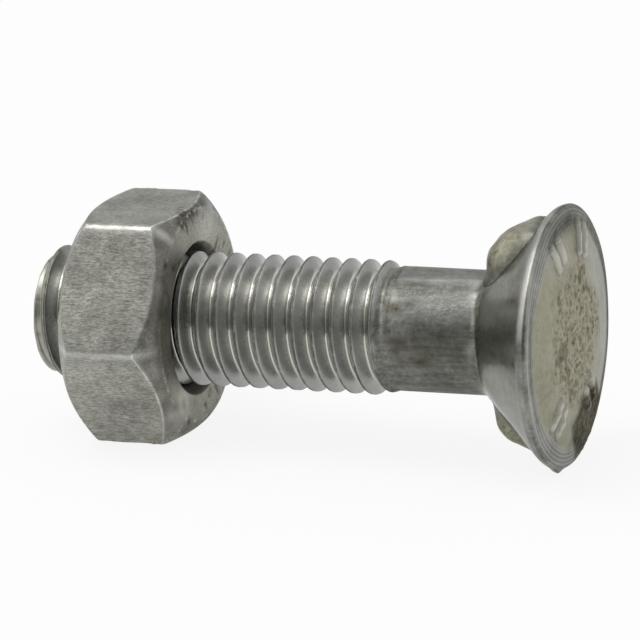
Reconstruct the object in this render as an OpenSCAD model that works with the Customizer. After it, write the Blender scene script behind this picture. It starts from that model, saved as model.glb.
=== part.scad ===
// Plow bolt M10 x 40 with hex nut: round countersunk head, two nibs under it.
// The bolt lies along X. The head's outer face is at x = 0 and looks along +X,
// the threaded end points along -X, and the nut rests with one flat down.
// Every angle around the bolt is counted from +Z towards -Y.

/* [Bolt] */
// Overall length, from the head's outer face to the threaded end
bolt_length = 40.9; // [36:0.1:80]
// Diameter of the plain shank
shank_d = 9.1; // [8.2:0.05:9.6]
// Radius of the fillet between shank and head cone
shank_fillet = 1.2; // [0.3:0.1:3]

/* [Head] */
// Largest diameter of the head, at the rim
head_d = 19.3; // [17.5:0.1:24]
// Diameter of the flat middle of the head's outer face
head_face_d = 6; // [4:0.1:14]
// Depth that the domed face falls from its flat middle to the rim
head_dome_drop = 0.85; // [0.05:0.05:1.2]
// Radius of the rounded rim
rim_r = 0.3; // [0.1:0.05:0.6]
// Included angle of the countersunk cone
head_cone_angle = 90; // [80:1:100]

/* [Nibs] */
// Number of nibs, evenly spaced around the cone
nib_count = 2; // [1:1:4]
// Angle of the first nib around the bolt
nib_angle = 5; // [0:1:90]
// Width of a nib across its ridge
nib_width = 4.7; // [4:0.1:6]
// Reach of a nib's front past the foot of the cone
nib_reach = -0.2; // [-0.8:0.1:1.5]
// Height of a nib's front above the shank
nib_front_height = 3.5; // [2.4:0.1:4]
// Depth of the ridge's back end below the rim
nib_back_drop = 0.5; // [0.3:0.05:1.5]
// How far the ridge bulges above a straight line
nib_bulge = 0.1; // [0:0.1:0.6]
// Rounding radius of a nib's edges
nib_round = 1.6; // [0.8:0.1:1.9]

/* [Thread] */
// Outer diameter over the thread's crests
thread_d = 9.86; // [9.65:0.01:10]
// Diameter at the thread's root
thread_root_d = 8.02; // [7.8:0.02:8.4]
// Distance from one crest to the next
thread_pitch = 1.5; // [1:0.25:2]
// Length of thread, with its run-out
thread_length = 27.9; // [20:0.1:28]
// Length over which the thread runs out into the shank
thread_runout = 2.2; // [1:0.1:5]
// Width of the crest, as a share of the pitch
crest_share = 0.16; // [0.1:0.02:0.3]
// Width of the root, as a share of the pitch
root_share = 0.14; // [0.1:0.02:0.4]
// Angle around the bolt at which the crest leaves the end face
thread_start = 163; // [0:1:359]
// Diameter of the end face, inside its 45 degree chamfer
end_face_d = 8.4; // [6.5:0.1:9]

/* [Nut] */
// Distance across the nut's flats
nut_flats = 16.8; // [15:0.1:19]
// Height of the nut
nut_height = 8; // [5:0.1:10]
// Length of thread that stands out behind the nut
nut_run_on = 3.45; // [0.5:0.05:12]
// Clearance in radius between the nut's bore and the crests
nut_clearance = 0.05; // [0.02:0.01:0.1]
// Diameter of the bearing face, inside the corner chamfer
nut_bearing_d = 16; // [13:0.1:17]
// Diameter of the nut's back face, inside the corner chamfer
nut_back_d = 15.4; // [13:0.1:17]
// Height that the chamfers take off the nut's corners
nut_chamfer = 1.2; // [0.4:0.1:2]
// Mouth diameter of the countersinks in both faces
nut_mouth_d = 11.4; // [10.3:0.1:13]
// Angle of the countersinks' wall to the nut's face
nut_mouth_angle = 60; // [30:1:60]

/* [Hidden] */
$fn = 96;

shank_r = shank_d / 2;
cone_slope = head_cone_angle / 2;

// The head's outline: a wide dome arc, tangent to the flat middle, then the rim's arc
dome_w = head_d / 2 - rim_r - head_face_d / 2;
dome_turn = 2 * atan(head_dome_drop / dome_w);
dome_r = dome_w / sin(dome_turn) + rim_r;
rim_centre = [head_d / 2 - rim_r, -head_dome_drop - rim_r];
cone_top = rim_centre + rim_r * [cos(cone_slope), -sin(cone_slope)];
cone_length = (cone_top[0] - shank_r) / tan(cone_slope);
cone_foot = cone_top[1] - cone_length;
fillet_run = shank_fillet * tan(cone_slope / 2);

// The thread, counted from the end face: one ribbon of four lines wound round the bolt,
// whose far end sinks into the shank and is a little thinner than it
RIBBON_STEPS = 30;
crest_r = thread_d / 2;
root_r = thread_root_d / 2;
blend_inset = 0.02;
thread_sink = 0.5;
line_offsets = [-crest_share / 2, crest_share / 2, 0.5 - root_share / 2, 0.5 + root_share / 2];
line_radii = [crest_r, crest_r, root_r, root_r];
LINES = len(line_offsets);
first_step = -RIBBON_STEPS;
ribbon_length = thread_length + thread_sink;
last_step = ceil(RIBBON_STEPS * (ribbon_length / thread_pitch + 1 - line_offsets[LINES - 1]));
step_count = last_step - first_step;

bore_r = crest_r + nut_clearance;
nut_corner_r = nut_flats / 2 / cos(30);

// Points on a circle arc, from one angle to another
function arc(centre, r, from, to, steps) =
    [for (i = [0:steps]) let (a = from + (to - from) * i / steps) centre + r * [cos(a), sin(a)]];

// Radius of one thread line at a distance from the end face, where the root is still shallow
function line_radius(line, along) =
    let (
        lead = max(0, 1 - along / thread_pitch),
        fade = max(0, min(1, (along - thread_length + thread_runout) / thread_runout)),
        formed = max(line_radii[line], root_r + (end_face_d / 2 - root_r) * lead)
    )
    min(end_face_d / 2 + along, formed * (1 - fade) + (shank_r - blend_inset) * fade);

// A point of the ribbon: [radius, distance from the end face]
// Past either end of the thread it lies flat on that end, ever closer to the axis
function ribbon_place(line, step) =
    let (
        along = thread_pitch * (step / RIBBON_STEPS + line_offsets[line]),
        placed = min(max(along, 0), ribbon_length),
        past = abs(along - placed) / thread_pitch
    )
    [line_radius(line, placed) * (1 - past / 2), placed];

function ribbon_point(line, step) =
    let (
        place = ribbon_place(line, step),
        a = thread_start + 360 * step / RIBBON_STEPS
    )
    [place[0] * cos(a), place[0] * sin(a), place[1]];

// Index of a ribbon point, where the line after the last one is the first of the next turn
function ribbon_index(line, i) =
    line < LINES ? i * LINES + line : (i + RIBBON_STEPS) * LINES;

// Stands a shape drawn along +Z so that it runs along +X, with its own X upwards
module along_bolt() {
    rotate([0, 90, 0]) rotate([0, 0, 180]) children();
}

module thread() {
    points = [for (i = [0:step_count]) for (line = [0:LINES - 1]) ribbon_point(line, first_step + i)];
    flanks = [
        for (i = [0:step_count - 1]) for (line = [0:LINES - 1])
            let (
                a = ribbon_index(line, i),
                b = ribbon_index(line, i + 1),
                c = ribbon_index(line + 1, i + 1),
                d = ribbon_index(line + 1, i)
            )
            if (c < len(points)) each [[a, d, b], [b, d, c]]
    ];
    end_face = [
        for (i = [0:RIBBON_STEPS]) ribbon_index(0, i),
        for (line = [LINES - 1:-1:1]) ribbon_index(line, 0)
    ];
    shank_face = [
        for (i = [step_count:-1:step_count - RIBBON_STEPS]) ribbon_index(LINES - 1, i),
        for (line = [0:LINES - 2]) ribbon_index(line, step_count)
    ];
    translate([0, 0, -bolt_length])
        polyhedron(points = points, faces = concat(flanks, [end_face, shank_face]));
}

// Head, cone, fillet and plain shank, turned as one outline
module turned_blank() {
    fillet_centre = [shank_r + shank_fillet, cone_foot - fillet_run];
    rotate_extrude()
        polygon(concat(
            [[0, 0]],
            arc([head_face_d / 2, -dome_r], dome_r, 90, 90 - dome_turn, 12),
            arc(rim_centre, rim_r, 80 - dome_turn, -cone_slope, 8),
            arc(fillet_centre, shank_fillet, 180 - cone_slope, 180, 6),
            [[shank_r, thread_length - bolt_length], [0, thread_length - bolt_length]]
        ));
}

// One nib: a rounded ridge that climbs from the foot of the cone to the rim
module nib() {
    front = cone_foot - nib_reach + nib_round;
    front_r = shank_r + nib_front_height - nib_round;
    back = cone_top[1] - nib_round * 0.8;
    back_r = head_d / 2 - nib_back_drop - nib_round;
    shoulder = [(front + back) / 2, (front_r + back_r) / 2 + nib_bulge];
    side = nib_width / 2 - nib_round;
    hull()
        for (place = [[front, front_r], shoulder, [back, back_r], [front, shank_r / 2], [back, shank_r / 2]])
            for (y = [-side, side])
                translate([place[1], y, place[0]]) sphere(nib_round, $fn = 24);
}

module bolt() {
    color("#8b8a80")
        along_bolt() {
            turned_blank();
            thread();
            for (i = [0:nib_count - 1])
                rotate([0, 0, nib_angle + 360 * i / nib_count]) nib();
        }
}

// Hexagon with both faces chamfered, bored to pass over the crests
module hex_nut() {
    mouth_depth = (nut_mouth_d / 2 - bore_r) * tan(nut_mouth_angle);
    color("#9a9a94")
        along_bolt()
            translate([0, 0, nut_run_on - bolt_length])
                difference() {
                    intersection() {
                        rotate([0, 0, 30]) cylinder(r = nut_corner_r, h = nut_height, $fn = 6);
                        rotate_extrude()
                            polygon([
                                [0, 0],
                                [nut_back_d / 2, 0],
                                [nut_corner_r, nut_chamfer],
                                [nut_corner_r, nut_height - nut_chamfer],
                                [nut_bearing_d / 2, nut_height],
                                [0, nut_height]
                            ]);
                    }
                    translate([0, 0, -1]) cylinder(r = bore_r, h = nut_height + 2);
                    for (end = [0, 1])
                        translate([0, 0, end * nut_height]) mirror([0, 0, end])
                            cylinder(r1 = nut_mouth_d / 2, r2 = bore_r, h = mouth_depth);
                }
}

bolt();
hex_nut();
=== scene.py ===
import math
import bpy
import numpy as np
from mathutils import Matrix, Vector


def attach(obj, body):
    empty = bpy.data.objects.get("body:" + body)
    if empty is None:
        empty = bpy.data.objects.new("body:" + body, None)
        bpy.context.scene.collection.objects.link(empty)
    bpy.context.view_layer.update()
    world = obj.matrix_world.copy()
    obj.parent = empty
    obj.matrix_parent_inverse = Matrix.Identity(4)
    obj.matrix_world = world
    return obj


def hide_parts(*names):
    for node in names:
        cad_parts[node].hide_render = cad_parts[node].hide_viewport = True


# Plow bolt with its hex nut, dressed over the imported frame.
# Sizes in the dictionaries are millimetres, and meshes are scaled to metres at the end.
# Angles go round the bolt from +Z towards -Y.

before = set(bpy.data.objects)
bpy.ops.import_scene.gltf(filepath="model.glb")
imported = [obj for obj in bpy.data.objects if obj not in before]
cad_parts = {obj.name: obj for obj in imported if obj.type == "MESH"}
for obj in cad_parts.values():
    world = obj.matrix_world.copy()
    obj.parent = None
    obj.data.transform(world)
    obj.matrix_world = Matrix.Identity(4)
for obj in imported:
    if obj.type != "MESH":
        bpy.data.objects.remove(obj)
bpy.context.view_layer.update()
mm = 0.001
scene = bpy.context.scene
print("frame loaded:", sorted(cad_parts))


# Unit vectors square to the axis, at each angle
def outward(angle):
    return np.stack([np.zeros_like(angle), -np.sin(angle), np.cos(angle)], -1)


# Points from cylinder coordinates: along the axis, distance from it, angle round it
def turned(along, radius, angle):
    points = outward(angle) * np.asarray(radius)[..., None]
    points[..., 0] = along
    return points


# Smooth unevenness, about -1 to 1: a sum of sine waves in seeded directions, of a given size in mm
def ripple(points, size, seed, waves=16):
    rng = np.random.default_rng(seed)
    directions = rng.normal(size=(waves, 3))
    directions /= np.linalg.norm(directions, axis=1)[:, None]
    pitch = rng.uniform(0.6, 1.7, waves) * 2 * np.pi / size
    phase = rng.uniform(0, 2 * np.pi, waves)
    return np.sin(points @ (directions * pitch[:, None]).T + phase).sum(-1) / math.sqrt(waves) * 0.75


# The sum of several ripples, each given as size, depth and seed
def ripples(points, layers):
    return sum(depth * ripple(points, size, seed) for size, depth, seed in layers)


# 0 below low, 1 above high, with a cubic ease between
def ease(low, high, value):
    t = np.clip((value - low) / (high - low), 0, 1)
    return t * t * (3 - 2 * t)


# 1 between two eased steps, each given as (0 here, 1 here), and 0 outside them
def between(value, rise, fall):
    return ease(*rise, value) * ease(*fall, value)


# A soft stripe: falls from 1 to 0 with the square of the distance from its centre over its width
def stripe(value, centre, width):
    return np.exp(-((value - centre) / width) ** 2)


# A soft round spot: the same fall in three directions, each with its own width
def spot(points, centre, width):
    apart = (points - np.array(centre)) / np.array(width)
    return np.exp(-(apart ** 2).sum(-1))


# The sum of several soft spots, each given as centre, width and strength
def spots(points, places):
    return sum(strength * spot(points, centre, width) for centre, width, strength in places)


# Quads between columns that wrap round and rows that don't
def ringFaces(columns, rows):
    c, r = np.meshgrid(np.arange(columns), np.arange(rows - 1), indexing="ij")
    n = (c + 1) % columns
    return np.stack([c * rows + r, c * rows + r + 1, n * rows + r + 1, n * rows + r], -1).reshape(-1, 4)


# Triangles from a ring of points to one point, each written as a quad with its last corner twice
def fan(ring, centre, flip=False):
    tip = np.full_like(ring, centre)
    ahead = np.roll(ring, -1)
    return np.stack([ring, ahead, tip, tip] if flip else [ahead, ring, tip, tip], -1)


# Faces of a tube of columns by rows with a fan over each end, whose two hubs come after its points
def tubeFaces(columns, rows, flip=False):
    ring = np.arange(columns) * rows
    hub = columns * rows
    walls = ringFaces(columns, rows)
    walls = walls[:, ::-1] if flip else walls
    return np.concatenate([walls, fan(ring, hub, not flip), fan(ring + rows - 1, hub + 1, flip)])


# Marks of a tube's points, then of its two hubs: the first has the mean of its ring, the hidden one has 0
def tubeMarks(marksOf):
    return {key: np.append(value.ravel(), [value[:, 0].mean(), 0]) for key, value in marksOf.items()}


# Joins shells of (points, faces, marks) into one smooth mesh; marks are numbers per point for the materials
def makePiece(name, shells, material, body, node):
    faces, base = [], 0
    for points, shellFaces, marks in shells:
        faces += [f[:3] if f[2] == f[3] else f for f in (shellFaces + base).tolist()]
        base += len(points)
    mesh = bpy.data.meshes.new(name)
    mesh.from_pydata((np.concatenate([s[0] for s in shells]) * mm).tolist(), [], faces)
    for key in shells[0][2]:
        layer = mesh.attributes.new(key, "FLOAT", "POINT")
        layer.data.foreach_set("value", np.concatenate([s[2][key] for s in shells]).astype(np.float32))
    mesh.validate()
    mesh.shade_smooth()
    mesh.materials.append(material)
    piece = bpy.data.objects.new(name, mesh)
    scene.collection.objects.link(piece)
    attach(piece, body)
    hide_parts(node)
    triangles = sum(len(p.vertices) - 2 for p in mesh.polygons)
    print("piece", name, len(mesh.vertices), "points,", triangles, "triangles")


bolt = {
    "length": 40.9,
    "shankRadius": 4.55,
    "threadEnd": -13.0,      # where the run-out has become plain shank
    "threadOverlap": 0.15,   # the thread's skin runs on this far past its end,
    "threadSink": 0.03,      # and sinks this deep under the shank's
    "runout": 2.0,
    "crestRadius": 4.93,
    "rootRadius": 4.01,
    "pitch": 1.5,
    "threadStart": math.radians(163),
    "endRadius": 4.2,
    "chamferRound": 0.06,    # where the end's chamfer meets the thread
    "headRadius": 9.65,
    "flatRadius": 3.0,
    "domeDrop": 0.69,
    "rimRadius": 0.3,        # on the face's side
    "rimRoll": 0.9,          # on the cone's side
    "burr": (math.radians(161), 0.07, 0.3),   # angle and half width round the rim, height
    "coneAngle": math.radians(45),
    "fillet": 1.2,
}

# widths are shares of the pitch, and layers of unevenness are size, depth and seed
thread = {
    "crestWidth": 0.06,
    "crestLayers": [(0.55, 0.02, 11), (2.6, 0.014, 12)],
    "flankLayers": [(1.1, 0.006, 14)],
    "runoutLayers": [(0.8, 0.022, 15)],
    "seam": (0.026, 0.03),       # width and depth of the lap that rolling leaves along the crest
    "seamDark": (0.03, 0.75),    # width and strength of the dark line in it
    "rootWidth": 0.15,
    "sawnEnd": {                 # marks of the sawn face at the thread's end
        "polishAndHighlight": 0.0,
        "gloss": 0.0,
        "rough": 0.4,
        "scale": 0.45,
        "film": 0.4,
        "scratch": 0.0,
        "stain": 0.15,
    },
}

rust = [  # centre, width, strength
    ((-12.8, -3.65, 2.75), 0.42, 0.9),
    ((-11.7, -3.4, 3.0), 0.3, 0.4),
    ((-12.9, -4.5, 0.5), 0.35, 0.5),
    ((-12.0, -4.52, 0.45), 0.3, 0.35),
    ((-10.7, -4.42, -1.05), 0.38, 0.7),
    ((-11.2, -4.45, -0.8), 0.28, 0.45),
    ((-13.4, -2.0, -4.1), 0.5, 0.8),
    ((-12.6, 3.4, 3.0), 0.5, 0.8),
    ((-9.0, 2.4, -3.9), 0.4, 0.8),
]


# Rust starts as small spots, 1.7 times as long as wide along the shank, and the strongest one counts
def rustOn(points):
    stain = 0
    for centre, width, strength in rust:
        stain = np.maximum(stain, strength * spot(points, centre, (width * 1.7, width, width)))
    return stain


# Distance from the nearest crest as a share of the pitch, 0 on the crest and 0.5 in the root
def fromCrest(phase):
    return np.abs((phase + 0.5) % 1 - 0.5)


# Thread radius at a phase of the pitch: flat crest, straight 30 degree flanks and a rounded root,
# a ramp of the distance from the crest whose two bends are softened by a log-sum
def threadRadius(phase, crest, root):
    rootStart, flankWidth, rootSoft, crestSoft = 0.425, 0.345, 0.13, 0.035
    low = rootSoft * np.logaddexp(0, (rootStart - fromCrest(phase)) / flankWidth / rootSoft)
    return root + (crest - root) * (low - crestSoft * np.logaddexp(0, (low - 1) / crestSoft))


# Quads between a ribbon's steps, where the line after the last one is the first of the next turn,
# with a fan over the first turn and over the last one
def ribbonFaces(steps, lines, turnSteps):
    i, k = np.meshgrid(np.arange(steps - 1), np.arange(lines), indexing="ij")
    wrap = k == lines - 1
    a, b = i * lines + k, (i + 1) * lines + k
    d = np.where(wrap, (i + turnSteps) * lines, a + 1)
    c = np.where(wrap, (i + 1 + turnSteps) * lines, b + 1)
    faces = np.stack([a, b, c, d], -1).reshape(-1, 4)
    faces = faces[faces[:, 2] < steps * lines]
    near = np.concatenate([np.arange(turnSteps + 1) * lines, np.arange(lines - 1, 0, -1)])
    top = (steps - 1) * lines
    far = np.concatenate([top - np.arange(turnSteps + 1) * lines + lines - 1, top + np.arange(lines - 1)])
    hub = steps * lines
    return np.concatenate([faces, fan(near, hub), fan(far, hub + 1)])


# The thread is one ribbon wound round the axis: the point of a line at a step lies along the axis at
# pitch * (turns + phase of the line). Past either end it folds flat onto that end. The lines stand
# closest where the profile bends.
def threadShell(spec, turnSteps=120):
    half = np.array([0, 0.022, 0.045, 0.065, 0.082, 0.1, 0.13, 0.2, 0.28, 0.36, 0.4, 0.43, 0.465])
    phase = np.concatenate([half, [0.5], 1 - half[:0:-1]])
    length = spec["length"] + spec["threadEnd"]
    stop = length + spec["threadOverlap"]
    last = math.ceil(turnSteps * (stop / spec["pitch"] + 1 - phase[-1]))
    turns = np.arange(-turnSteps, last + 1)[:, None] / turnSteps
    along = spec["pitch"] * (turns + phase)
    placed = np.clip(along, 0, stop)
    past = np.abs(along - placed) / spec["pitch"]
    angle = spec["threadStart"] + 2 * np.pi * turns + 0 * along
    away = fromCrest(phase) + 0 * along
    radius = threadRadius(away, spec["crestRadius"], spec["rootRadius"])
    lead = np.clip(1 - placed / spec["pitch"], 0, 1)
    radius = np.maximum(radius, spec["rootRadius"] + (spec["endRadius"] - spec["rootRadius"]) * lead)
    fade = ease(length - spec["runout"], length - 0.25, placed)
    points = turned(placed - spec["length"], radius, angle)
    onCrest = stripe(away, 0, thread["crestWidth"]) * (1 - fade)
    seamWidth, seamDepth = thread["seam"]
    lap = seamDepth * stripe(away, 0, seamWidth) * (1 + 0.8 * ripple(points, 1.3, 13))
    radius = radius + onCrest * (ripples(points, thread["crestLayers"]) - lap)
    radius = radius + ripples(points, thread["flankLayers"]) * (1 - fade)
    radius = radius * (1 - fade) + spec["shankRadius"] * fade
    scuff = ripples(points * [0.7, 1, 1], thread["runoutLayers"])
    radius = radius + fade * ease(length, length - 0.5, placed) * scuff
    under = ease(length - spec["threadOverlap"], stop, placed)
    radius = radius - spec["threadSink"] * under
    chamfer = spec["endRadius"] + placed
    soft = spec["chamferRound"]
    radius = -soft * np.logaddexp(-radius / soft, -chamfer / soft)  # the smaller of the two, rounded
    points = turned(placed - spec["length"], radius * (1 - past / 2), angle)
    hubs = np.array([[-spec["length"], 0, 0], [stop - spec["length"], 0, 0]])
    marksOf = threadMarks(points, phase, placed, length, fade, onCrest)
    folded = ease(0.0, 0.1, past)
    for key, sawn in thread["sawnEnd"].items():
        value = marksOf[key] * (1 - folded) + sawn * folded
        marksOf[key] = np.append(value.ravel(), [sawn, sawn])
    faces = ribbonFaces(len(turns), len(phase), turnSteps)
    return np.concatenate([points.reshape(-1, 3), hubs]), faces, marksOf


# Marks of the thread: bright rolled roots, a torn and darker crest with a seam, painted shade on the
# flanks towards the head, and a skin of film over the run-out, all by the distance from the crest and
# from the ends
def threadMarks(points, phase, placed, length, fade, onCrest):
    away = fromCrest(phase) + 0 * placed
    scuffed = fade * ease(length + 0.1, length - 0.6, placed)
    inRoot = stripe(away, 0.5, thread["rootWidth"]) * (1 - fade)
    onTip = ease(1.3, 0.9, placed)
    # painted shade on each flank on the head's side of a root
    paintedShadeFlank = ((phase > 0.56) & (phase < 0.99)) * (1 - fade) * (1 - onTip)
    seamWidth, seamStrength = thread["seamDark"]
    seam = seamStrength * stripe(away, 0, seamWidth) * (1 - fade) * ease(-1.2, 0.1, ripple(points, 1.7, 51))
    drawnEnd = ease(length - 1.3, length - 1.0, placed + 0.08 * ripple(points, 0.9, 18))
    crestFilm = onCrest * (0.8 + 0.3 * ripple(points, 0.7, 16))
    tipStain = 0.7 * onTip * ease(0.4, 1.2, ripple(points, 1.2, 17))
    return {
        "polishAndHighlight": inRoot * (1 - onTip),
        "gloss": np.clip(0.2 + 0.8 * inRoot - onCrest, 0, 1) * (1 - fade) * (1 - onTip),
        "rough": np.maximum(0.6 * onCrest, np.maximum(0.8 * scuffed, 0.4 * paintedShadeFlank)),
        "scale": 0.4 * onTip,
        "film": np.clip(drawnEnd + 0.65 * paintedShadeFlank + crestFilm, 0, 1),
        "scratch": np.clip(onCrest * (0.4 + 0.6 * ripple(points, 2.4, 19)) + 0.4 * scuffed, 0, 1),
        "stain": np.clip(rustOn(points) + tipStain + seam, 0, 1),
    }


blank = {
    # where a part begins and where it is whole, along the bolt or out from its axis
    "faceAlong": (-1.15, -0.9),
    "marginOut": ((7.6, 8.1), (9.35, 9.1)),
    "rimAlong": ((-1.8, -1.4), (-0.66, -0.78)),
    "rimOut": (9.0, 9.4),
    "coneAlong": ((-1.45, -2.0), (-7.0, -5.8)),
    "shankAlong": ((-6.6, -7.6), (-13.0, -12.4)),
    "bars": [                # degrees round the face, radius, length
        (-23, 7.2, 2.0),
        (18, 7.3, 1.7),
        (-156, 5.5, 1.8),
        (138, 6.5, 1.8),
    ],
    "barWidth": 0.75,
    "barGap": 1.25,          # between the two bars of a pair
    "barHeight": 0.26,
    "ringPitch": 0.3,        # turning marks on the margin
    "ringDepth": 0.014,
    "faceSink": 0.15,        # the visible face lies this far under the solid's
    "roughRadius": 5.2,      # rough middle of the face
    # unevenness: size, depth and seed
    "faceLayers": [(6.0, 0.02, 23)],
    "craterLayers": [(2.6, 0.03, 21), (1.0, 0.055, 22), (0.5, 0.035, 28)],
    "coneLayers": [(5.0, 0.02, 24), (1.4, 0.004, 25)],
    "rimLayers": [(6.0, 0.03, 26)],
    "rimWorn": 0.027,
    "shankLayers": [(0.9, 0.006, 27)],
    "shankStretch": (0.1, 1, 1),
    # wear: spots with a centre, widths and strength
    "darkPatch": [((-0.3, 2.3, -7.1), (3, 3.8, 2.6), 1)],         # a thick dark patch near the rim, low on the far side
    "thinGrime": [((-0.5, 0.6, 8.4), (3, 3.0, 0.8), 0.6)],
    "scuffs": [
        ((-8.5, -3.5, 2.9), (1.9, 0.8, 0.9), 1),
        ((-12.9, -2.1, 4.0), (0.6, 0.9, 0.6), 1),
        ((-10.0, -2.75, 3.63), (3.6, 0.35, 0.25), 0.7),
    ],
    # wear, painted highlight and painted shade: radians round the bolt, with a width
    "paintedRimHighlight": (0.82, 0.28),
    "paintedRimShade": (1.75, 0.5),
    "wornLine": (0.34, 0.035),
    "wornTrack": (0.34, 0.09),
    # the next two: a painted sheen high on the near side, and painted shade at mid height on it
    "paintedSheenSide": (0.95, 0.25),
    "paintedShadeSide": (1.53, 0.3),
}

nibs = {
    "pair": [
        {"angle": math.radians(5), "front": -6.22, "back": -1.6, "width": 4.7, "round": 1.6,
         "grow": 0.0, "seed": 41},
        {"angle": math.radians(185), "front": -6.5, "back": -1.6, "width": 4.8, "round": 1.5,
         "grow": 0.22, "seed": 47},
    ],
    "ridge": [(-6.2, 7.62), (-4.7, 8.04), (-3.6, 8.6), (-2.5, 9.1), (-1.5, 9.36)],  # along, height
    "wallDepth": 3.0,
    "wallLean": 0.12,        # how far a wall leans out on its way down
    "flare": 0.34,           # how far its foot runs out over the cone
    "lumps": [(2.6, 0.04), (1.1, 0.016), (0.45, 0.005)],   # size, depth
    "worn": 0.03,
}


# A circle's arc as (along, radius), by the sine and cosine of each angle from the radius' direction
def arc(centre, size, angles):
    angles = angles[:, None]
    return np.array(centre) + size * np.concatenate([np.sin(angles), np.cos(angles)], 1)


# The head's face as (along, radius): a flat middle, then the dome's arc, tangent to it.
# Also gives the angle that the dome has turned through at the rim.
def faceOutline(spec):
    domeWidth = spec["headRadius"] - spec["rimRadius"] - spec["flatRadius"]
    turn = 2 * math.atan(spec["domeDrop"] / domeWidth)
    domeRadius = domeWidth / math.sin(turn) + spec["rimRadius"]
    flat = np.stack([np.zeros(26), np.linspace(0.02, 1, 26) * spec["flatRadius"]], -1)
    a = np.linspace(0, turn, 74)[1:-1, None]
    dome = [-domeRadius, spec["flatRadius"]] + domeRadius * np.concatenate([np.cos(a), np.sin(a)], 1)
    return np.concatenate([flat, dome]), turn


# The blank below its face as (along, radius): a tight rim arc that runs on into a wide one, 45 degree
# cone, fillet arc and shank, whose last rows tuck under the thread's surface
def stemOutline(spec, turn):
    rimAlong = -spec["domeDrop"] - spec["rimRadius"]
    tight = arc([rimAlong, spec["headRadius"] - spec["rimRadius"]], spec["rimRadius"],
                np.linspace(math.pi / 2 - turn, 0, 10)[:-1])
    wide = arc([rimAlong, spec["headRadius"] - spec["rimRoll"]], spec["rimRoll"],
               np.linspace(0, -spec["coneAngle"], 14))
    slope = spec["coneAngle"]
    run = spec["fillet"] * math.tan(slope / 2)
    foot = wide[-1, 0] - (wide[-1, 1] - spec["shankRadius"]) / math.tan(slope)
    fillet = arc([foot - run, spec["shankRadius"] + spec["fillet"]], spec["fillet"],
                 np.linspace(math.pi - slope, math.pi, 14))
    t = np.linspace(0, 1, 40)[1:-1, None]
    cone = wide[-1] * (1 - t) + fillet[0] * t
    t = np.linspace(0, 1, 46)[1:, None]
    shank = fillet[-1] * (1 - t) + np.array([spec["threadEnd"], spec["shankRadius"]]) * t
    tuck = np.array([[-0.06, -0.001], [-0.12, -0.005], [-0.18, -0.012], [-0.25, -0.02]]) + shank[-1]
    return np.concatenate([tight, wide, cone, fillet, shank, tuck])


# The raised bars of the face, in pairs: the distance to a rounded bar, eased up over its edge.
# Gives how high each point stands and how near it is to a bar's foot, where painted shade goes.
def raisedBars(points):
    raised = edge = np.zeros(points.shape[:-1])
    for degrees, out, length in blank["bars"]:
        a = math.radians(degrees)
        u = -points[..., 1] * math.sin(a) + points[..., 2] * math.cos(a) - out
        v = points[..., 1] * math.cos(a) + points[..., 2] * math.sin(a)
        for side in (-0.5, 0.5):
            beyond = np.maximum(np.abs(u) - length / 2, 0)
            bar = np.hypot(beyond, v - side * blank["barGap"]) - blank["barWidth"] / 2
            raised = np.maximum(raised, ease(0.16, -0.26, bar))
            edge = np.maximum(edge, stripe(bar, 0.12, 0.13))
    return raised, edge


# Where each part of the blank is, from 0 to 1, by eased steps of the length along it and the radius
def blankZones(points, along, radius):
    onFace = ease(*blank["faceAlong"], along)
    middleEdge = blank["roughRadius"]
    darkPatch = spots(points, blank["darkPatch"]) + 0.08 * ripple(points, 1.6, 45)
    return {
        "face": onFace,
        "middle": onFace * ease(middleEdge + 1.0, middleEdge - 1.2, radius + 0.7 * ripple(points, 4.0, 20)),
        "darkPatch": onFace * (0.95 * ease(0.25, 0.58, darkPatch) + spots(points, blank["thinGrime"])),
        "margin": onFace * between(radius, *blank["marginOut"]),
        "rim": between(along, *blank["rimAlong"]) * ease(*blank["rimOut"], radius),
        "cone": between(along, *blank["coneAlong"]),
        "shank": between(along, *blank["shankAlong"]),
    }


# Turns the outline round the axis, then presses the forging's unevenness into it
def blankShell(spec, columns=288):
    faceLine, turn = faceOutline(spec)
    outline = np.concatenate([faceLine, stemOutline(spec, turn)])
    rows = len(outline)
    angle = np.repeat(np.arange(columns)[:, None] / columns * 2 * np.pi, rows, 1)
    along = outline[None, :, 0] + 0 * angle
    radius = outline[None, :, 1] + 0 * angle
    points = turned(along, radius, angle)
    zone = blankZones(points, along, radius)
    raised, edge = raisedBars(points)
    crater = ripples(points, blank["craterLayers"])
    rings = zone["margin"] * blank["ringDepth"] * np.sin(2 * np.pi * radius / blank["ringPitch"])
    barTop = zone["face"] * raised * blank["barHeight"] * (1 + 0.25 * ripple(points, 1.2, 29))
    lift = (zone["middle"] + 0.5 * zone["darkPatch"]) * crater + barTop + rings
    lift = lift + zone["face"] * ripples(points, blank["faceLayers"])
    swell = zone["cone"] * ripples(points, blank["coneLayers"])
    swell = swell + zone["rim"] * (ripples(points, blank["rimLayers"]) - blank["rimWorn"])
    burrAt, burrWidth, burrOut = spec["burr"]
    swell = swell + zone["rim"] * burrOut * np.exp(-np.abs((angle - burrAt) / burrWidth) ** 1.3)
    drawn = points * np.array(blank["shankStretch"])
    swell = swell + zone["shank"] * ripples(drawn, blank["shankLayers"])
    points = turned(along + lift - zone["face"] * blank["faceSink"], radius + swell, angle)
    hubs = np.array([[points[:, 0, 0].mean(), 0, 0], [outline[-1, 0], 0, 0]])
    marksOf = blankMarks(points, along, radius, angle, zone, raised, edge)
    return np.concatenate([points.reshape(-1, 3), hubs]), tubeFaces(columns, rows), tubeMarks(marksOf)
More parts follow.
